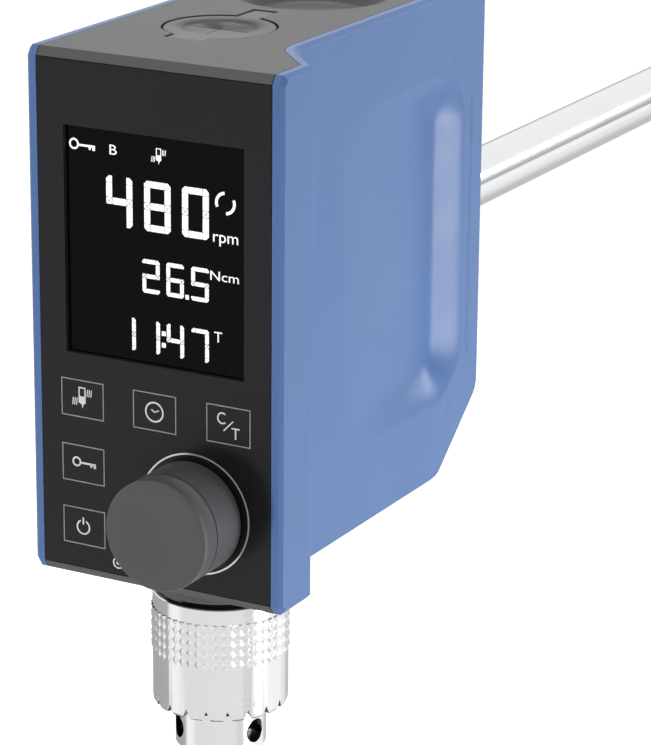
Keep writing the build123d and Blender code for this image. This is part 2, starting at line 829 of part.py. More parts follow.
def gear_face(teeth, first_angle):
    """Outline of a spur gear with involute flanks, one tooth centred on first_angle."""
    pitch_radius = gear_module * teeth / 2
    base = pitch_radius * cos(radians(pressure_angle))
    tip = pitch_radius + gear_module
    root = pitch_radius - 1.25 * gear_module
    thickness = gear_module * pi / 2 - backlash
    half_at_base = thickness / (2 * pitch_radius) + involute_flank(base, pitch_radius)
    start = max(base, root)
    radii = [start + (tip - start) * step / 3 for step in range(4)]

    def point(radius, angle):
        return (radius * cos(angle), radius * sin(angle))

    edges = []
    for index in range(teeth):
        centre = radians(first_angle) + 2 * pi * index / teeth
        half = [half_at_base - involute_flank(base, radius) for radius in radii]
        rising = [point(radius, centre - angle) for radius, angle in zip(radii, half)]
        falling = [point(radius, centre + angle) for radius, angle in zip(radii, half)][::-1]
        root_in = point(root, centre - half[0])
        root_out = point(root, centre + half[0])
        next_in = point(root, centre + 2 * pi / teeth - half[0])
        root_middle = point(root, centre + pi / teeth)
        if root < start:
            edges.append(Line(root_in, rising[0]))
        edges.append(Spline(*rising))
        edges.append(ThreePointArc(rising[-1], point(tip, centre), falling[0]))
        edges.append(Spline(*falling))
        if root < start:
            edges.append(Line(falling[-1], root_out))
        edges.append(ThreePointArc(root_out, root_middle, next_in))
    return make_face(Wire(edges))


def spindle_gear():
    """Large gear on the spindle, with a hub and lightening holes."""
    gap_towards_pinion = 90 + 180 / gear_teeth
    gear = Pos(0, 0, gear_low) * extrude(gear_face(gear_teeth, gap_towards_pinion), gear_width)
    gear += disc(gear_hub_radius, gear_low, gear_low + gear_width + gear_hub_height)
    gear -= disc(spindle_radius, gear_low - 1, gear_low + gear_width + gear_hub_height + 1)
    hole = disc(2.4, gear_low - 1, gear_low + gear_width + 1, x=12.4)
    for shape in ring_of(hole, 6, 30):
        gear -= shape
    return gear


def pinion():
    """Small gear on the motor's shaft."""
    low = gear_low - pinion_overhang
    blank = extrude(gear_face(pinion_teeth, -90), gear_width + 2 * pinion_overhang)
    gear = Pos(0, motor_y, low) * blank
    return gear - disc(motor_shaft_radius, low - 1, low + gear_width + 3, y=motor_y)


# ---------------------------------------------------------------- motor
def motor_housing():
    """Drawn steel can, open at its lower end."""
    high = motor_low + motor_length
    can = disc(motor_radius, motor_low + motor_wall, high, y=motor_y)
    can = fillet(can.edges().group_by(Axis.Z)[-1], 1.5)
    can -= disc(motor_radius - motor_wall, motor_low, high - motor_wall, y=motor_y)
    can -= disc(motor_shaft_radius + 0.3, high - 3, high + 1, y=motor_y)
    return can


def motor_end_plate():
    """Lower end of the motor, with the spigot that centres it on its plate."""
    plate = disc(motor_radius, motor_low, motor_low + motor_wall, y=motor_y)
    plate += disc(motor_spigot_radius, motor_low - 2, motor_low, y=motor_y)
    plate -= disc(motor_shaft_radius + 0.3, motor_low - 3, motor_low + 3, y=motor_y)
    for x, y in motor_screw_places():
        plate -= disc(screw_radius, motor_low - 1, motor_low + 3, x=x, y=y)
    return plate


def motor_screw_places():
    return [(8.5 * cos(radians(angle)), motor_y + 8.5 * sin(radians(angle))) for angle in (0, 90, 180)]


def motor_screws():
    """Screws from below the motor plate into the motor's end plate."""
    screws = []
    for x, y in motor_screw_places():
        low = motor_low - motor_plate_thickness
        shank = disc(screw_radius, low, motor_low + 2.4, x=x, y=y)
        screws.append(shank + disc(screw_head_radius, low - screw_head_height, low, x=x, y=y))
    return screws


def motor_stator():
    """Wound stack pressed into the can."""
    low = motor_low + 9
    high = motor_low + motor_length - 9
    outer = motor_radius - motor_wall
    stack = tube(outer, rotor_radius + air_gap, low, high, y=motor_y)
    slot = Pos(0, motor_y, 0) * Pos(rotor_radius + 2.4, 0, low - 1) * extrude(Circle(1.1), high - low + 2)
    for index in range(6):
        stack -= Pos(0, motor_y, 0) * Rot(0, 0, 60 * index + 30) * Pos(0, -motor_y, 0) * slot
    return stack


def motor_rotor():
    """Magnet rotor on the motor's shaft."""
    return tube(rotor_radius, motor_shaft_radius, motor_low + 8, motor_low + motor_length - 8, y=motor_y)


def motor_shaft():
    low = gear_low - pinion_overhang - 0.6
    return disc(motor_shaft_radius, low, motor_low + motor_length - 1.6, y=motor_y)


def motor_bearings():
    """Two small bearings, shown as plain rings, at the ends of the motor."""
    inner = motor_shaft_radius + 0.03
    lower = motor_low + motor_wall
    upper = motor_low + motor_length - motor_wall - motor_bearing_width
    ends = []
    for low in (lower, upper):
        ends.append(tube(motor_bearing_radius, inner, low, low + motor_bearing_width, y=motor_y))
    return ends


# ---------------------------------------------------------------- chassis
def chassis():
    """Cast frame: base with the lower bearing's boss, back wall, top shelf and rod boss."""
    base_z = case_base_z + cover_wall
    half = chassis_half_width
    shelf_top = shelf_low + shelf_thickness
    frame = block((-half, half), (chassis_front, chassis_back), (base_z, base_z + base_plate))
    frame += block((-half, half), (chassis_back - back_wall, chassis_back), (base_z, shelf_top))
    frame += block((-half, half), (chassis_front, chassis_back), (shelf_low, shelf_top))
    plate_z = (motor_low - motor_plate_thickness, motor_low)
    frame += block((-half, half), (gear_hub_radius + gear_hub_gap, chassis_back), plate_z)
    frame += disc(bearing_outer + boss_wall, seal_low, base_z + 1)
    frame += rod_boss()
    rib = side_prism(
        [
            (chassis_back - back_wall, shelf_low),
            (chassis_back - back_wall - 14, shelf_low),
            (chassis_back - back_wall, shelf_low - 14),
        ],
        (-half, -half + 3),
    )
    frame += rib + Pos(2 * half - 3, 0, 0) * rib
    frame -= disc(bearing_outer, seal_low - 1, base_z + base_plate + 1)
    frame -= disc(bearing_outer, upper_bearing_z, shelf_low + shelf_thickness + 1)
    frame -= disc(bearing_outer - 2.5, shelf_low - 1, upper_bearing_z + 1)
    frame -= disc(motor_spigot_radius, motor_low - motor_plate_thickness - 1, motor_low + 1, y=motor_y)
    for x, y in motor_screw_places():
        frame -= disc(screw_radius, motor_low - motor_plate_thickness - 1, motor_low + 1, x=x, y=y)
    rod_hole = extrude(Circle(rod_seat_radius), rod_seat_length + 1)
    frame -= along_y(rod_hole, 0, back_y - rod_seat_length, rod_z)
    for x, z in rear_screw_places():
        lug = extrude(Circle(screw_head_radius + 0.6), back_y - cover_wall - chassis_back)
        frame += along_y(lug, x, chassis_back, z)
        frame += block((x - 1.5, x + 1.5), (chassis_back - back_wall, chassis_back), (z - 3, z + 3))
        frame -= along_y(extrude(Circle(screw_radius), 9), x, back_y - 8, z)
    clamp_hole = disc(screw_radius, rod_z, rod_z + 12, y=chassis_back + 9)
    return frame - clamp_hole


def rod_boss():
    length = back_y - chassis_back
    boss = extrude(Circle(rod_boss_radius), length - cover_wall) + extrude(Circle(rod_boss_nose), length)
    return along_y(boss, 0, chassis_back, rod_z)


def rod_screw():
    """Grub screw that holds the rod in its boss."""
    low = rod_z + rod_seat_radius
    return disc(screw_radius, low, rod_z + rod_boss_radius, y=chassis_back + 9)


def extension_rod():
    """Steel rod by which a stand's clamp holds the stirrer, with a thinner end in the chassis."""
    grip = extrude(Circle(rod_radius), rod_exposed)
    grip = chamfer(grip.edges().group_by(Axis.Z)[-1], rod_bevel)
    seat = Pos(0, 0, -rod_seat_length) * extrude(Circle(rod_seat_radius), rod_seat_length)
    return along_y(grip + seat, 0, back_y, rod_z)


# ---------------------------------------------------------------- power board and sockets
def driver_board():
    """Motor driver board on the back wall, above the rod."""
    half = chassis_half_width - 1
    y_span = (driver_board_y, driver_board_y + board_thickness)
    board = block((-half, half), y_span, (driver_board_low, driver_board_high))
    package_z = (driver_board_low + 14, driver_board_low + 24)
    return board + block((-5, 5), (driver_board_y - 3, driver_board_y), package_z)


def board_posts():
    """Four posts from the chassis' back wall to the driver board."""
    post = extrude(RegularPolygon(2.4, 6), driver_board_y - chassis_back)
    posts = []
    for x in (-chassis_half_width + 3.6, chassis_half_width - 3.6):
        for z in (driver_board_low + 3, driver_board_high - 5):
            posts.append(along_y(post, x, chassis_back, z))
    return posts


def socket_outline(side, grow=0.0):
    """Round power inlet on the left and square-cornered data port on the right."""
    if side < 0:
        return Circle(4.6 + grow)
    return RectangleRounded(9.4 + 2 * grow, 8.6 + 2 * grow, 0.8)


def power_socket():
    start = driver_board_y + board_thickness
    length = back_y - start + 0.4
    body = extrude(socket_outline(-1), length)
    body += extrude(Rectangle(10, 10), length - cover_wall - 1.4)
    body -= Pos(0, 0, length - 9) * extrude(Circle(3.1), 10)
    body += Pos(0, 0, length - 9.2) * extrude(Circle(0.9), 4.6)
    return along_y(body, -socket_spacing / 2, start, socket_z)


def data_socket():
    start = driver_board_y + board_thickness
    length = back_y - start + 0.2
    body = extrude(socket_outline(1), length)
    body += extrude(Rectangle(12, 11), length - cover_wall - 1.4)
    body -= Pos(0, 0, length - 8) * extrude(Rectangle(8.0, 7.2), 9)
    body += Pos(0, 0, length - 8.2) * extrude(Rectangle(5.4, 2.6), 3.8)
    return along_y(body, socket_spacing / 2, start, socket_z)


# ---------------------------------------------------------------- all pieces
def all_pieces():
    lower_inner, lower_outer, lower_balls = bearing_rings(lower_bearing_z)
    upper_inner, upper_outer, upper_balls = bearing_rings(upper_bearing_z)
    pieces = {
        "left_shell": left_shell(),
        "right_shell": right_shell(),
        "top_cover": top_cover(),
        "bottom_cover": bottom_cover(),
        "rear_cover": rear_cover(),
        "rear_screws": rear_screws(),
        "front_foil": front_foil(),
        "front_panel": front_panel(),
        "light_ring": light_ring(),
        "key_domes": key_domes(),
        "display_window": display_window(),
        "display_module": display_module(),
        "control_board": control_board(),
        "encoder_body": encoder_body(),
        "encoder_plunger": encoder_plunger(),
        "encoder_shaft": encoder_shaft(),
        "knob_body": knob_body(),
        "knob_cap": knob_cap(),
        "push_through_cap": push_through_cap(),
        "chassis": chassis(),
        "extension_rod": extension_rod(),
        "rod_screw": rod_screw(),
        "driver_board": driver_board(),
        "board_posts": board_posts(),
        "power_socket": power_socket(),
        "data_socket": data_socket(),
        "lower_bearing_inner": lower_inner,
        "lower_bearing_outer": lower_outer,
        "lower_bearing_balls": lower_balls,
        "upper_bearing_inner": upper_inner,
        "upper_bearing_outer": upper_outer,
        "upper_bearing_balls": upper_balls,
        "shaft_seal": shaft_seal(),
        "spindle": spindle(),
        "spindle_gear": spindle_gear(),
        "pinion": pinion(),
        "motor_housing": motor_housing(),
        "motor_end_plate": motor_end_plate(),
        "motor_screws": motor_screws(),
        "motor_stator": motor_stator(),
        "motor_rotor": motor_rotor(),
        "motor_shaft": motor_shaft(),
        "motor_bearings": motor_bearings(),
        "chuck_body": chuck_body(),
        "chuck_nut": chuck_nut(),
        "chuck_sleeve": chuck_sleeve(),
    }
    for number, shape in enumerate(jaws(), start=1):
        pieces[f"jaw_{number}"] = shape
    return pieces


os.makedirs("parts", exist_ok=True)
for name, shape in all_pieces().items():
    solids = shape if isinstance(shape, list) else [shape]
    solids = [solid for item in solids for solid in item.solids()]
    export_step(Compound(children=solids) if len(solids) > 1 else solids[0], f"parts/{name}.step")
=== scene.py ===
from math import pi, radians

import bmesh
import bpy
from mathutils import Matrix, Vector


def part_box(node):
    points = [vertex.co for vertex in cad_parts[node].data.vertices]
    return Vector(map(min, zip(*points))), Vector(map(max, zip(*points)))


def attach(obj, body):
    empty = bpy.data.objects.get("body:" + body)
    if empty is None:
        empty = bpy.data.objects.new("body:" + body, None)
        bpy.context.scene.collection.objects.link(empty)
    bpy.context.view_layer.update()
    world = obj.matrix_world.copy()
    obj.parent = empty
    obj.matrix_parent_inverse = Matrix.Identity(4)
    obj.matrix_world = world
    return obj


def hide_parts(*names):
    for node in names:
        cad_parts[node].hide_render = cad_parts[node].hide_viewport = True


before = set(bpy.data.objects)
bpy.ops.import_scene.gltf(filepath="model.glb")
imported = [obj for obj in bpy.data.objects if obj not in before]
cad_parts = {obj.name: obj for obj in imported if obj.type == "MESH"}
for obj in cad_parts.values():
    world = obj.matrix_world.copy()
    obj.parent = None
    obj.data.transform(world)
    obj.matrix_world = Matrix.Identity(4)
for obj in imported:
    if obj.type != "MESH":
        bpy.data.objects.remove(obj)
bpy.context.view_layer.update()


# ---------------------------------------------------------------- studio
# A pale floor well below the stirrer, which hangs on a stand by its rod, with soft lamps round it.
# The camera stands to the right of the panel and a little above it. The narrow side lamp gives the
# highlight on the grip scoop's rear bank, and the floor's mirrored side gives the chrome its bands.
camera_data = bpy.data.cameras.new("camera")
camera_data.lens = 157.63
camera_data.clip_end = 20
camera = bpy.data.objects.new("camera", camera_data)
camera.location = (0.32727, -0.55817, 0.28889)
camera.rotation_euler = (radians(72.429), radians(-0.475), radians(28.598))
bpy.context.scene.collection.objects.link(camera)
bpy.context.scene.camera = camera
bpy.context.scene.view_settings.view_transform = "Standard"


def aimed_lamp(name, place, target, size, watts, mirrored=True):
    """An area lamp at a place, pointing at a target; polished parts may show it or not."""
    data = bpy.data.lights.new(name, "AREA")
    data.shape = "RECTANGLE"
    data.size, data.size_y = size
    data.energy = watts
    lamp = bpy.data.objects.new(name, data)
    lamp.location = place
    lamp.rotation_euler = (Vector(target) - Vector(place)).to_track_quat("-Z", "Y").to_euler()
    lamp.visible_glossy = mirrored
    bpy.context.scene.collection.objects.link(lamp)


middle = (0.01, 0.0, 0.09)
aimed_lamp("key_lamp", (-0.36, -0.93, -0.15), middle, (0.12, 0.12), 5.0, mirrored=False)
scoop_bank = (0.03, 0.04, 0.09)
aimed_lamp("side_lamp", (0.37, 0.065, -0.02), scoop_bank, (0.09, 0.26), 0.95)
aimed_lamp("fill_lamp", (0.82, -0.57, 0.12), middle, (0.3, 0.3), 0.8, mirrored=False)
scoop_corner = (0.03, 0.04, 0.05)
aimed_lamp("corner_lamp", (0.5, 0.86, 0.31), scoop_corner, (0.3, 0.12), 1.3)
aimed_lamp("top_lamp", (-0.1, 0.2, 1.0), middle, (0.7, 0.7), 5.0)
aimed_lamp("back_lamp", (-0.4, 0.95, 0.4), middle, (0.7, 0.7), 4.0, mirrored=False)


class Term:
    """A number that varies over a surface. Sums and products of terms add Math nodes."""

    def __init__(self, tree, socket):
        self.tree = tree
        self.socket = socket

    def math(self, operation, first, second):
        return self.tree.node("ShaderNodeMath", {"operation": operation}, {0: first, 1: second})

    def __add__(self, other):
        return self.math("ADD", self, other)

    __radd__ = __add__

    def __rsub__(self, other):
        return self.math("SUBTRACT", other, self)

    def __mul__(self, other):
        return self.math("MULTIPLY", self, other)

    __rmul__ = __mul__

    def above(self, edge):
        return self.math("GREATER_THAN", self, edge)

    def largest(self, other):
        return self.math("MAXIMUM", self, other)


class Tree:
    """A node tree, with the one method that adds nodes to it."""

    def __init__(self, tree):
        self.tree = tree

    def fill(self, target, value):
        if isinstance(value, Term):
            self.tree.links.new(value.socket, target)
        elif target.type == "RGBA" and len(value) == 3:
            target.default_value = (*value, 1)
        else:
            target.default_value = value

    def node(self, kind, settings, values, output=0):
        """Adds a node, its settings first and then the values or links of its sockets."""
        made = self.tree.nodes.new(kind)
        for name, value in settings.items():
            if name == "stops":
                for index, (place, shade) in enumerate(value):
                    stops = made.color_ramp.elements
                    stop = stops[index] if index < 2 else stops.new(place)
                    stop.position = place
                    stop.color = (shade, shade, shade, 1)
            else:
                setattr(made, name, value)
        for name, value in values.items():
            self.fill(made.inputs[name], value)
        return Term(self, made.outputs[output])

    def mix(self, share, first, second):
        return self.node("ShaderNodeMix", {"data_type": "RGBA"}, {0: share, 6: first, 7: second}, 2)


world = bpy.data.worlds.new("studio")
world.use_nodes = True
bpy.context.scene.world = world
air = Tree(world.node_tree)
backdrop = world.node_tree.nodes["Background"]
seen = air.node("ShaderNodeLightPath", {}, {}, "Is Camera Ray")
mirrored = air.node("ShaderNodeLightPath", {}, {}, "Is Glossy Ray")
direction = air.node("ShaderNodeTexCoord", {}, {}, "Generated")
height = air.node("ShaderNodeSeparateXYZ", {}, {"Vector": direction}, "Z")
sky_stops = ((0.0, 0.4), (1.0, 1.0), (0.49, 0.45), (0.58, 0.98))
sky = air.node("ShaderNodeValToRGB", {"stops": sky_stops}, {"Fac": height * 0.5 + 0.5})
daylight = (0.93, 0.95, 1.0)
ambient = 0.2
air.fill(backdrop.inputs["Color"], air.mix(mirrored, daylight, sky))
air.fill(backdrop.inputs["Strength"], ambient + (1 - ambient) * mirrored.largest(seen))

floor_drop = 0.25
floor_half = 4
floor_white = 0.93
floor_grey = (0.45, 0.45, 0.45)
first_wall = radians(61.4)
floor_shape = bmesh.new()
bmesh.ops.create_grid(floor_shape, x_segments=2, y_segments=2, size=floor_half)
bmesh.ops.translate(floor_shape, vec=(0, 0, -floor_drop), verts=floor_shape.verts)
floor_data = bpy.data.meshes.new("floor")
floor_shape.to_mesh(floor_data)
floor = bpy.data.objects.new("floor", floor_data)
bpy.context.scene.collection.objects.link(floor)
floor_paint = bpy.data.materials.new("floor_paint")
floor_paint.use_nodes = True
floor_tree = Tree(floor_paint.node_tree)
floor_shader = floor_paint.node_tree.nodes["Principled BSDF"]
floor_shader.inputs["Roughness"].default_value = 0.9
seen = floor_tree.node("ShaderNodeLightPath", {}, {}, "Is Camera Ray")
mirrored = floor_tree.node("ShaderNodeLightPath", {}, {}, "Is Glossy Ray")
spot = floor_tree.node("ShaderNodeTexCoord", {}, {}, "Object")
turned = floor_tree.node("ShaderNodeMapping", {}, {"Vector": spot, "Rotation": (0, 0, first_wall)})
around = floor_tree.node("ShaderNodeTexGradient", {"gradient_type": "RADIAL"}, {"Vector": turned}, "Fac")
wall_stops = (
    (0.0, 0.36), (1.0, 0.5), (0.225, 0.42), (0.24, 1.0), (0.295, 1.0), (0.32, 0.8),
    (0.6, 0.84), (0.64, 0.68), (0.71, 0.74), (0.73, 1.0), (0.86, 1.0), (0.91, 0.55))
walls = floor_tree.node("ShaderNodeValToRGB", {"stops": wall_stops}, {"Fac": around})
floor_tree.fill(floor_shader.inputs["Base Color"], floor_tree.mix(mirrored, floor_grey, (0, 0, 0)))
floor_tree.fill(floor_shader.inputs["Emission Color"], floor_tree.mix(mirrored, (1, 1, 1), walls))
floor_tree.fill(floor_shader.inputs["Emission Strength"], floor_white * seen + mirrored)
floor_data.materials.append(floor_paint)


# ---------------------------------------------------------------- left and right shells
# Injection-moulded side shells in blue plastic, with a very fine satin texture and bevelled rims.
# The right one is stepped in behind a flange and has the grip scoop. Both close on the chassis.
class Finish(Tree):
    """A material on a Principled shader."""

    def __init__(self, name, color, roughness, **sockets):
        self.material = bpy.data.materials.new(name)
        self.material.use_nodes = True
        super().__init__(self.material.node_tree)
        self.shader = self.tree.nodes["Principled BSDF"]
        self.set("Base Color", color)
        self.set("Roughness", roughness)
        for socket, value in sockets.items():
            self.set(socket.replace("_", " "), value)

    def set(self, socket, value):
        self.fill(self.shader.inputs[socket], value)

    def place(self):
        return self.node("ShaderNodeTexCoord", {}, {}, "Object")

    def stretched(self, scale):
        return self.node("ShaderNodeMapping", {}, {"Vector": self.place(), "Scale": scale})

    def noise(self, scale, detail=3.0, stretch=(1, 1, 1)):
        values = {"Vector": self.stretched(stretch), "Scale": scale, "Detail": detail}
        return self.node("ShaderNodeTexNoise", {}, values, "Fac")

    def bump(self, height, distance, strength=1.0, edge=0.0):
        """Raises the surface by height and, where edge is given, rounds its edges to that radius."""
        values = {"Height": height, "Distance": distance, "Strength": strength}
        if edge:
            values["Normal"] = self.node("ShaderNodeBevel", {"samples": 6}, {"Radius": edge})
        self.set("Normal", self.node("ShaderNodeBump", {}, values))


def moulded(name, color, roughness, grain=0.00002, shade=0.9, edge=0.0002, **sockets):
    """Plastic from a finely textured mould: slight cloudiness, a fine grain and softened edges."""
    finish = Finish(name, color, roughness, **sockets)
    darker = tuple(shade * part for part in color)
    finish.set("Base Color", finish.mix(finish.noise(40, 2), darker, color))
    finish.set("Roughness", finish.noise(55, 3) * 0.14 + (roughness - 0.07))
    finish.bump(finish.noise(2600, 2), grain, 0.6, edge)
    return finish.material


def dress(material, *nodes):
    for node in nodes:
        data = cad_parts[node].data
        data.materials.clear()
        data.materials.append(material)


shell_blue = moulded("shell_blue", (0.104, 0.21, 0.474), 0.37, edge=0.0003)
dress(shell_blue, "left_shell", "right_shell")


# ---------------------------------------------------------------- top, bottom and rear covers
# Dark grey mouldings between the shells: a little coarser in texture, and quite matt. The rear
# one is screwed to the chassis, and the others are held between the shells.
cover_grey = moulded("cover_grey", (0.1, 0.1, 0.104), 0.5, grain=0.00004, edge=0.00025)
dress(cover_grey, "top_cover", "bottom_cover", "rear_cover")


# ---------------------------------------------------------------- cap over the spindle
# A soft grey cap that lifts off for a shaft that goes right through, with crossed slits. It lies
# a little below the cover's face, so that the gap round it shows.
mm = 0.001
cap_sink = 0.65 * mm


def keep(name, shape, material, body):
    """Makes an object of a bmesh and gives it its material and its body."""
    data = bpy.data.meshes.new(name)
    shape.to_mesh(data)
    shape.free()
    piece = bpy.data.objects.new(name, data)
    bpy.context.scene.collection.objects.link(piece)
    data.materials.append(material)
    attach(piece, body)
    return piece


def merged_copy(node):
    """The shape of a CAD node with its doubled vertices merged."""
    shape = bmesh.new()
    shape.from_mesh(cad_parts[node].data)
    bmesh.ops.remove_doubles(shape, verts=shape.verts, dist=0.002 * mm)
    return shape


def stand_for(piece, node, angle):
    """Shades a piece smoothly up to an angle and lets it stand for a CAD node."""
    piece.data.shade_smooth()
    piece.data.set_sharp_from_angle(angle=radians(angle))
    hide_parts(node)


cap_shape = merged_copy("push_through_cap")
bmesh.ops.translate(cap_shape, vec=(0, 0, -cap_sink), verts=cap_shape.verts)
cap_grey = moulded("cap_grey", (0.13, 0.13, 0.134), 0.46, edge=0.0003)
stand_for(keep("spindle_cap", cap_shape, cap_grey, "spindle_cap"), "push_through_cap", 28)


# ---------------------------------------------------------------- screws of the rear cover
# Blackened steel pan heads with a hexagon socket, turned and heat treated. They screw the rear
# cover to the chassis. The motor's screws and the rod's grub screw are of the same steel.
def turned_metal(name, color, roughness, across, edge=0.00015, wear=0.25, **sockets):
    """Bare metal with fine tool or grinding lines; across is how many cross each axis."""
    finish = Finish(name, color, roughness, Metallic=1.0, **sockets)
    lines = finish.noise(1, 4, stretch=across)
    cloud = finish.noise(60, 3)
    darker = tuple((1 - wear) * part for part in color)
    finish.set("Base Color", finish.mix(cloud * 0.6 + lines * 0.4, darker, color))
    finish.set("Roughness", lines * 0.5 * roughness + cloud * 0.4 * roughness + 0.55 * roughness)
    finish.bump(lines, 0.000015, 0.25, edge)
    return finish.material


screw_steel = turned_metal("screw_steel", (0.3, 0.3, 0.31), 0.35, (900, 900, 900))
dress(screw_steel, "rear_screws", "motor_screws", "rod_screw")


# ---------------------------------------------------------------- front panel and its foil
# A black keypad foil glued over a stiff moulded plate. The foil is satin polyester, printed in
# white from behind.
foil_black = moulded("foil_black", (0.019, 0.019, 0.021), 0.42, grain=0.000008, edge=0.0001,
                     Specular_IOR_Level=0.2)
dress(foil_black, "front_foil")
dress(moulded("frame_plastic", (0.02, 0.02, 0.021), 0.55), "front_panel")

print_white = Finish("print_white", (0.86, 0.87, 0.88), 0.45)
print_white.set("Roughness", print_white.noise(900, 2) * 0.2 + 0.35)
dress(print_white.material, "light_ring")

line_grey = Finish("line_grey", (0.36, 0.37, 0.38), 0.5)
line_grey.set("Roughness", line_grey.noise(900, 2) * 0.2 + 0.4)

foil_low, foil_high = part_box("front_foil")
shell_low, shell_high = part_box("left_shell")
panel_x = (foil_low.x + foil_high.x) / 2
base_z = shell_low.z
print_thickness = 0.03  # millimetres, as the prints are drawn


def flat_bar(shape, middle, size, turn=0.0):
    """A rectangle in the panel's plane, turned about its own middle."""
    place = Matrix.Translation((middle[0], 0, middle[1])) @ Matrix.Rotation(radians(turn), 4, "Y")
    place = place @ Matrix.Rotation(pi / 2, 4, "X") @ Matrix.Diagonal((size[0] / 2, size[1] / 2, 1, 1))
    return bmesh.ops.create_grid(shape, x_segments=1, y_segments=1, size=1, matrix=place)["verts"]


def flat_arc(shape, middle, radius, width, start=0.0, sweep=360.0, steps=40):
    """A ring or part of one, swept by spinning a short line."""
    inner = Vector((middle[0] + radius - width / 2, 0, middle[1]))
    line = [shape.verts.new(inner), shape.verts.new(inner + Vector((width, 0, 0)))]
    edge = shape.edges.new(line)
    centre = (middle[0], 0, middle[1])
    bmesh.ops.rotate(shape, cent=centre, matrix=Matrix.Rotation(radians(-start), 3, "Y"), verts=line)
    bmesh.ops.spin(shape, geom=[edge, *line], cent=centre, axis=(0, -1, 0), angle=radians(sweep),
                   steps=steps, use_merge=sweep == 360)


def flat_plate(shape, *corners):
    """A flat shape with the corners given as (across, up)."""
    face = shape.faces.new([shape.verts.new((x, 0, z)) for x, z in corners])
    face.normal_update()
    return face


def flat_frame(shape, left, low, width, height, line):
    """The outline of a rectangle."""
    right, high = left + width, low + height
    face = flat_plate(shape, (left, low), (right, low), (right, high), (left, high))
    bmesh.ops.inset_individual(shape, faces=[face], thickness=line, use_even_offset=True)
    bmesh.ops.delete(shape, geom=[face], context="FACES_ONLY")


def flat_text(shape, words, left, low, width, height):
    """Plain sans letters, stretched to the size given."""
    curve = bpy.data.curves.new("letters", "FONT")
    curve.body = words
    holder = bpy.data.objects.new("letters", curve)
    bpy.context.scene.collection.objects.link(holder)
    bpy.context.view_layer.update()
    depsgraph = bpy.context.evaluated_depsgraph_get()
    letters = bpy.data.meshes.new_from_object(holder.evaluated_get(depsgraph))
    bpy.data.objects.remove(holder)
    xs = [vertex.co.x for vertex in letters.vertices]
    ys = [vertex.co.y for vertex in letters.vertices]
    scale = (width / (max(xs) - min(xs)), height / (max(ys) - min(ys)))
    place = Matrix.Translation((left - min(xs) * scale[0], 0, low - min(ys) * scale[1]))
    letters.transform(place @ Matrix.Rotation(pi / 2, 4, "X") @ Matrix.Diagonal((*scale, 1, 1)))
    shape.from_mesh(letters)
    bpy.data.meshes.remove(letters)


def print_on(name, shape, y, material):
    """Gives flat shapes, drawn in millimetres, their thickness and puts them on a face."""
    bmesh.ops.remove_doubles(shape, verts=shape.verts, dist=0.001)
    grown = bmesh.ops.extrude_face_region(shape, geom=shape.faces[:])["geom"]
    raised = [item for item in grown if isinstance(item, bmesh.types.BMVert)]
    bmesh.ops.translate(shape, vec=(0, -print_thickness, 0), verts=raised)
    bmesh.ops.recalc_face_normals(shape, faces=shape.faces)
    place = Matrix.Translation((panel_x, y, base_z)) @ Matrix.Scale(mm, 4)
    bmesh.ops.transform(shape, matrix=place, verts=shape.verts)
    return keep(name, shape, material, "housing")


# ---------------------------------------------------------------- keys printed on the foil
# Five membrane keys, printed on the foil's back: a thin grey frame round each and a white sign in
# it. The steel snap domes lie behind the foil.
key_width, key_height = 10.0, 7.9
key_line = 0.22
key_lefts = (-21.85, -4.96, 11.96)
key_lows = (34.1, 20.26, 6.85)
frames = bmesh.new()
key_corners = [(left, key_lows[0]) for left in key_lefts] + [(key_lefts[0], low) for low in key_lows[1:]]
for left, low in key_corners:
    flat_frame(frames, left, low, key_width, key_height, key_line)
print_on("key_frames", frames, foil_low.y, line_grey.material)


def key_sign(shape, x, z, length):
    """A door key lying on its side, its bow at the left."""
    bow = 0.19 * length
    flat_arc(shape, (x + bow, z), bow * 0.82, bow * 0.36)
    flat_bar(shape, (x + 0.68 * length, z - 0.02 * length), (0.64 * length, 0.075 * length))
    flat_bar(shape, (x + 0.80 * length, z - 0.09 * length), (0.08 * length, 0.1 * length))
    flat_bar(shape, (x + 0.95 * length, z - 0.10 * length), (0.1 * length, 0.12 * length))


def probe_sign(shape, x, z, size):
    """A hand-held probe with ripples on both sides of it."""
    flat_frame(shape, x - 0.18 * size, z, 0.36 * size, 0.48 * size, 0.06 * size)
    tip = ((-0.18, 0), (-0.18, -0.24), (-0.02, -0.3), (0, -0.5), (0.08, -0.3), (0.18, -0.24), (0.18, 0))
    flat_plate(shape, *[(x + across * size, z + up * size) for across, up in tip])
    ripple = (0.045 * size, 0.34 * size)
    for step in range(3):
        away = (0.27 + 0.1 * step) * size
        flat_bar(shape, (x + away, z + 0.24 * size), ripple, 8)
        flat_bar(shape, (x - away, z - 0.2 * size), ripple, 8)


signs = bmesh.new()
probe_sign(signs, key_lefts[0] + 4.9, key_lows[0] + 4.2, 4.6)
clock_middle = (key_lefts[1] + 4.95, key_lows[0] + 3.95)
flat_arc(signs, clock_middle, 1.98, 0.34)
flat_bar(signs, (clock_middle[0] - 0.28, clock_middle[1] + 0.22), (0.95, 0.26), 36)
flat_bar(signs, (clock_middle[0] + 0.5, clock_middle[1] + 0.2), (1.2, 0.26), -24)
flat_text(signs, "C", key_lefts[2] + 2.45, key_lows[0] + 4.05, 1.9, 2.45)
flat_bar(signs, (key_lefts[2] + 5.0, key_lows[0] + 3.85), (3.1, 0.26), -46)
flat_text(signs, "T", key_lefts[2] + 5.7, key_lows[0] + 1.35, 1.85, 2.3)
key_sign(signs, key_lefts[0] + 2.35, key_lows[1] + 4.3, 5.6)
power_middle = (key_lefts[0] + 4.75, key_lows[2] + 3.8)
flat_arc(signs, power_middle, 1.45, 0.34, start=115, sweep=310)
flat_bar(signs, (power_middle[0], power_middle[1] + 1.35), (0.34, 1.5))
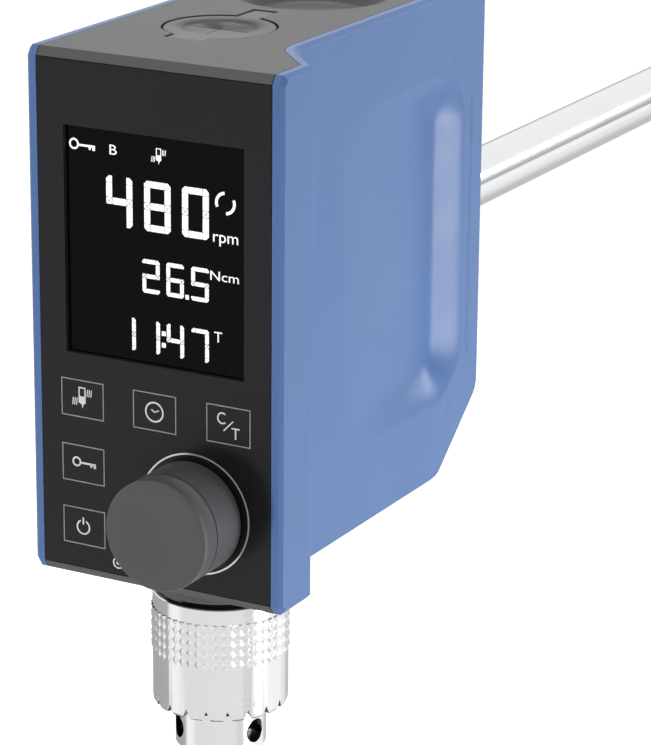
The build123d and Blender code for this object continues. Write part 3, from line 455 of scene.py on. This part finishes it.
half_hidden = (-8.8, 4.5)
flat_arc(signs, half_hidden, 1.15, 0.32)
flat_arc(signs, half_hidden, 0.25, 0.5, steps=16)
print_on("key_signs", signs, foil_low.y, print_white.material)


# ---------------------------------------------------------------- display
# A black window let into the foil, and a white segment display behind it that is lit. The figures
# lie on the window's face.
glass = Finish("window_black", (0.003, 0.003, 0.004), 0.16, Specular_IOR_Level=0.06)
glass.set("Roughness", glass.noise(30, 3) * 0.08 + 0.12)
dress(glass.material, "display_window")

lit_white = Finish("lit_white", (0.8, 0.82, 0.85), 0.5, Emission_Strength=0.55)
lit_shade = lit_white.mix(lit_white.noise(500, 1), (0.93, 0.96, 1.0), (1.0, 1.0, 1.0))
lit_white.set("Emission Color", lit_shade)

cell_gap = 0.045
lit_parts = {"0": "abcdef", "1": "bc", "2": "abged", "4": "fgbc", "5": "afgcd", "6": "afgedc", "7": "abc",
             "8": "abcdefg"}


def lit_cell(shape, x, z, width, height, cut=None, bevel=0.0):
    """One cell of a figure, with one corner cut off: cut gives the signs of its direction."""
    corners = [(x, z), (x + width, z), (x + width, z + height), (x, z + height)]
    signs_of = [(-1, -1), (1, -1), (1, 1), (-1, 1)]
    outline = []
    for corner, sign in zip(corners, signs_of):
        if sign != cut:
            outline.append(corner)
            continue
        along = [(corner[0] - sign[0] * bevel, corner[1]), (corner[0], corner[1] - sign[1] * bevel)]
        outline += along if sign[0] != sign[1] else along[::-1]
    return flat_plate(shape, *outline)


def figure(shape, number, left, low, width, height, stroke):
    """A seven-segment figure with fine dark lines between its cells."""
    lit = lit_parts[number]
    far = left + width - stroke
    rows = (low, low + (height - stroke) / 2, low + height - stroke)
    side = (height - 3 * stroke) / 2
    bevel = 0.45 * stroke
    cells = []
    for part, row in (("a", rows[2]), ("g", rows[1]), ("d", rows[0])):
        if part in lit:
            cells.append(lit_cell(shape, left + stroke, row, width - 2 * stroke, stroke))
    uprights = (("f", left, rows[1]), ("e", left, rows[0]), ("b", far, rows[1]), ("c", far, rows[0]))
    for part, x, row in uprights:
        if part in lit:
            cells.append(lit_cell(shape, x, row + stroke, stroke, side))
    for pair, x, row, cut in (("af", left, rows[2], (-1, 1)), ("ab", far, rows[2], (1, 1)),
                              ("de", left, rows[0], (-1, -1)), ("cd", far, rows[0], (1, -1))):
        if set(pair) & set(lit):
            cells.append(lit_cell(shape, x, row, stroke, stroke, cut, bevel))
    for trio, x in (("feg", left), ("bcg", far)):
        if len(set(trio) & set(lit)) > 1:
            crossing = lit_cell(shape, x, rows[1], stroke, stroke)
            cells += bmesh.ops.poke(shape, faces=[crossing])["faces"]
    rims = bmesh.ops.inset_individual(shape, faces=cells, thickness=cell_gap, use_even_offset=True)["faces"]
    bmesh.ops.delete(shape, geom=rims, context="FACES_ONLY")


figures = bmesh.new()
speed_low, torque_low, time_low = 74.65, 62.05, 49.8
small_width, small_stroke = 4.05, 0.95
for number, left in zip("480", (-11.3, -2.6, 6.0)):
    figure(figures, number, left, speed_low, 6.1, 10.2, 1.45)
for number, left in zip("265", (-3.15, 2.35, 8.0)):
    figure(figures, number, left, torque_low, small_width, 6.95, small_stroke)
for number, left in zip("1147", (-8.75, -3.15, 2.35, 8.0)):
    figure(figures, number, left, time_low, small_width, 6.75, small_stroke)
flat_bar(figures, (7.1, 62.55), (0.8, 0.95))
flat_bar(figures, (1.7, 51.9), (0.9, 0.95))
flat_bar(figures, (1.7, 54.3), (0.9, 0.95))
flat_text(figures, "rpm", 13.0, 73.85, 5.6, 2.35)
flat_text(figures, "Ncm", 12.35, 66.85, 6.4, 1.9)
flat_text(figures, "T", 13.2, 54.4, 1.8, 2.1)
flat_text(figures, "B", -10.4, 89.05, 1.65, 1.95)
key_sign(figures, -19.75, 90.2, 6.0)
probe_sign(figures, 0.8, 90.0, 3.3)
for start in (95, -85):
    flat_arc(figures, (15.75, 82.55), 2.0, 0.62, start, 110, 16)
window_low, window_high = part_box("display_window")
print_on("display_figures", figures, window_low.y, lit_white.material)


# ---------------------------------------------------------------- knob
# A two-part knob moulded in soft-touch grey, with a fine groove between its face and its skirt.
# It is pressed on the encoder's shaft.
knob_grey = moulded("knob_grey", (0.087, 0.089, 0.094), 0.5, grain=0.00003, edge=0.0003,
                    Sheen_Weight=0.15)
dress(knob_grey, "knob_body")
knob_face = merged_copy("knob_cap")
stand_for(keep("knob_face", knob_face, knob_grey, "control_knob"), "knob_cap", 28)


# ---------------------------------------------------------------- chuck
# Turned steel, brightly plated. The sleeve is knurled for the hand and toothed for the key, and
# the body has the key's holes. The notches between the teeth are cut right through here.
nose_height = 4.5 * mm


def plated(name, painted_shade_radius):
    """Chrome with painted shade: the colour is dark inside the radius given and above the nose, standing in
    for the shade in the bore and the notches.
    """
    finish = Finish(name, (0.86, 0.87, 0.88), 0.15, Metallic=1.0)
    lines = finish.noise(1, 4, stretch=(60, 60, 3500))
    flat = finish.stretched((1, 1, 0))
    radius = finish.node("ShaderNodeVectorMath", {"operation": "LENGTH"}, {0: flat}, "Value")
    height = finish.node("ShaderNodeSeparateXYZ", {}, {"Vector": finish.place()}, "Z")
    # Painted shade: inside the radius and above the nose the base colour turns to the dark grey below, as
    # if in shadow.
    unshaded_mask = radius.above(painted_shade_radius).largest(1 - height.above(nose_height))
    bright = finish.mix(lines, (0.8, 0.81, 0.82), (0.88, 0.89, 0.9))
    finish.set("Base Color", finish.mix(unshaded_mask, (0.06, 0.06, 0.065), bright))
    finish.set("Roughness", lines * 0.08 + 0.1)
    finish.bump(lines, 0.000015, 0.25, 0.00012)
    return finish.material


# Painted shade inside these radii: the body's bore, and the sleeve's inside and notch walls.
body_chrome = plated("body_chrome", 9.4 * mm)
sleeve_chrome = plated("sleeve_chrome", 14.3 * mm)
dress(body_chrome, "chuck_body")
dress(turned_metal("jaw_steel", (0.42, 0.42, 0.44), 0.3, (500, 500, 500)), "jaw_1", "jaw_2", "jaw_3")

sleeve_low, sleeve_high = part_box("chuck_sleeve")
key_teeth = 20
notch_half = 1.0 * mm
notch_depth = 2.2 * mm
notch_start = 11.8 * mm
notch_length = 4.0 * mm
skin_gap = 0.01 * mm
cutter = bmesh.new()
for index in range(key_teeth):
    corners = ((-notch_half, -skin_gap), (notch_half, -skin_gap), (0, notch_depth))
    face = cutter.faces.new([cutter.verts.new((notch_start, y, sleeve_low.z + z)) for y, z in corners])
    grown = bmesh.ops.extrude_face_region(cutter, geom=[face])["geom"]
    far = [item for item in grown if isinstance(item, bmesh.types.BMVert)]
    bmesh.ops.translate(cutter, vec=(notch_length, 0, 0), verts=far)
    turn = Matrix.Rotation(2 * pi * index / key_teeth, 3, "Z")
    bmesh.ops.rotate(cutter, cent=(0, 0, 0), matrix=turn, verts=far + list(face.verts))
bmesh.ops.recalc_face_normals(cutter, faces=cutter.faces)
wedges = keep("wedges", cutter, sleeve_chrome, "chuck_collar")
uncut = merged_copy("chuck_sleeve")
sleeve = keep("toothed_sleeve", uncut, sleeve_chrome, "chuck_collar")
cut = sleeve.modifiers.new("cut", "BOOLEAN")
cut.object = wedges
bpy.context.view_layer.update()
depsgraph = bpy.context.evaluated_depsgraph_get()
notched = bpy.data.meshes.new_from_object(sleeve.evaluated_get(depsgraph))
sleeve.modifiers.clear()
sleeve.data = notched
bpy.data.objects.remove(wedges)
stand_for(sleeve, "chuck_sleeve", 25)

knurl_low = 22.9 * mm
knurl_high = 33.0 * mm
knurl_depth = 0.405 * mm
knurl_columns = 50
knurl_rows = 5
knurl_pitch = 2.24 * mm
knurl = bmesh.new()
knurl_run = (knurl_low, knurl_low + knurl_rows * knurl_pitch)
ends = [knurl.verts.new((sleeve_high.x + skin_gap, 0, z)) for z in knurl_run]
bmesh.ops.subdivide_edges(knurl, edges=[knurl.edges.new(ends)], cuts=knurl_rows - 1)
bmesh.ops.spin(knurl, geom=knurl.verts[:] + knurl.edges[:], cent=(0, 0, 0), axis=(0, 0, 1), angle=2 * pi,
               steps=knurl_columns, use_merge=True)
bmesh.ops.recalc_face_normals(knurl, faces=knurl.faces)
grid_lines = [edge for edge in knurl.edges if len(edge.link_faces) == 2]
bmesh.ops.poke(knurl, faces=knurl.faces)
bmesh.ops.dissolve_edges(knurl, edges=grid_lines, use_verts=False)
diamonds = [face for face in knurl.faces if len(face.verts) == 4]
studs = [face for face in diamonds
         if 0.25 < (face.calc_center_median().z - knurl_low) / knurl_pitch % 1 < 0.75]
bmesh.ops.poke(knurl, faces=studs, offset=knurl_depth)
bmesh.ops.bisect_plane(knurl, geom=knurl.verts[:] + knurl.edges[:] + knurl.faces[:], dist=1e-7,
                       plane_co=(0, 0, knurl_high), plane_no=(0, 0, 1), clear_outer=True)
keep("sleeve_knurl", knurl, sleeve_chrome, "chuck_collar")


# ---------------------------------------------------------------- rod
# Polished stainless steel rod, by which a stand's clamp holds the stirrer. A thinner end fits in
# the chassis, where a grub screw locks it.
rod_steel = turned_metal("rod_steel", (0.88, 0.89, 0.9), 0.13, (3200, 40, 3200), wear=0.08)
dress(rod_steel, "extension_rod")


# ---------------------------------------------------------------- sockets in the rear cover
# Black mouldings set in the rear cover: a round power inlet with its pin, and a data port with
# square corners.
dress(moulded("socket_black", (0.018, 0.018, 0.019), 0.35), "power_socket", "data_socket")


# ---------------------------------------------------------------- boards, display module and encoder
# Glass-fibre boards with green lacquer on turned brass posts. The display module is moulded, and
# the encoder and the domes are plated steel.
board_green = Finish("board_green", (0.02, 0.16, 0.06), 0.4)
lacquer = board_green.mix(board_green.noise(400, 4), (0.012, 0.1, 0.04), (0.03, 0.2, 0.08))
board_green.set("Base Color", lacquer)
dress(board_green.material, "control_board", "driver_board")
dress(moulded("module_plastic", (0.6, 0.6, 0.58), 0.5), "display_module", "encoder_plunger")
dress(turned_metal("post_brass", (0.7, 0.55, 0.26), 0.25, (300, 300, 300)), "board_posts", "pinion")
dress(turned_metal("dome_steel", (0.7, 0.7, 0.7), 0.2, (600, 600, 600)), "key_domes", "encoder_body")


# ---------------------------------------------------------------- chassis
# Cast aluminium frame, slightly rough from its mould. It carries the bearings, the motor and the
# rod.
cast = Finish("cast_aluminium", (0.6, 0.6, 0.61), 0.45, Metallic=1.0)
cast.set("Roughness", cast.noise(300, 3) * 0.25 + 0.35)
cast.bump(cast.noise(900, 3), 0.00005, 0.5)
dress(cast.material, "chassis")


# ---------------------------------------------------------------- spindle, bearings and seal
# Ground steel shaft and bearings, pressed in the chassis, and a black rubber lip seal at the
# lower end.
shaft_steel = turned_metal("shaft_steel", (0.66, 0.66, 0.68), 0.2, (60, 60, 3000))
dress(shaft_steel, "spindle", "encoder_shaft", "motor_shaft")
dress(turned_metal("bearing_steel", (0.75, 0.75, 0.76), 0.15, (80, 80, 2500)),
      "lower_bearing_inner", "lower_bearing_outer", "lower_bearing_balls", "upper_bearing_inner",
      "upper_bearing_outer", "upper_bearing_balls", "motor_bearings", "chuck_nut")
dress(moulded("seal_rubber", (0.015, 0.015, 0.015), 0.7), "shaft_seal")


# ---------------------------------------------------------------- motor and gears
# Plated steel can with a wound stack and a magnet rotor, screwed to the chassis. It drives a
# moulded gear through a brass pinion.
motor_can = turned_metal("motor_can", (0.45, 0.45, 0.46), 0.35, (60, 60, 1500))
dress(motor_can, "motor_housing", "motor_end_plate")
dress(turned_metal("stator_copper", (0.7, 0.33, 0.18), 0.35, (200, 200, 2500)), "motor_stator")
dress(moulded("magnet_dark", (0.06, 0.06, 0.065), 0.5), "motor_rotor")
dress(moulded("gear_plastic", (0.7, 0.69, 0.64), 0.5), "spindle_gear")
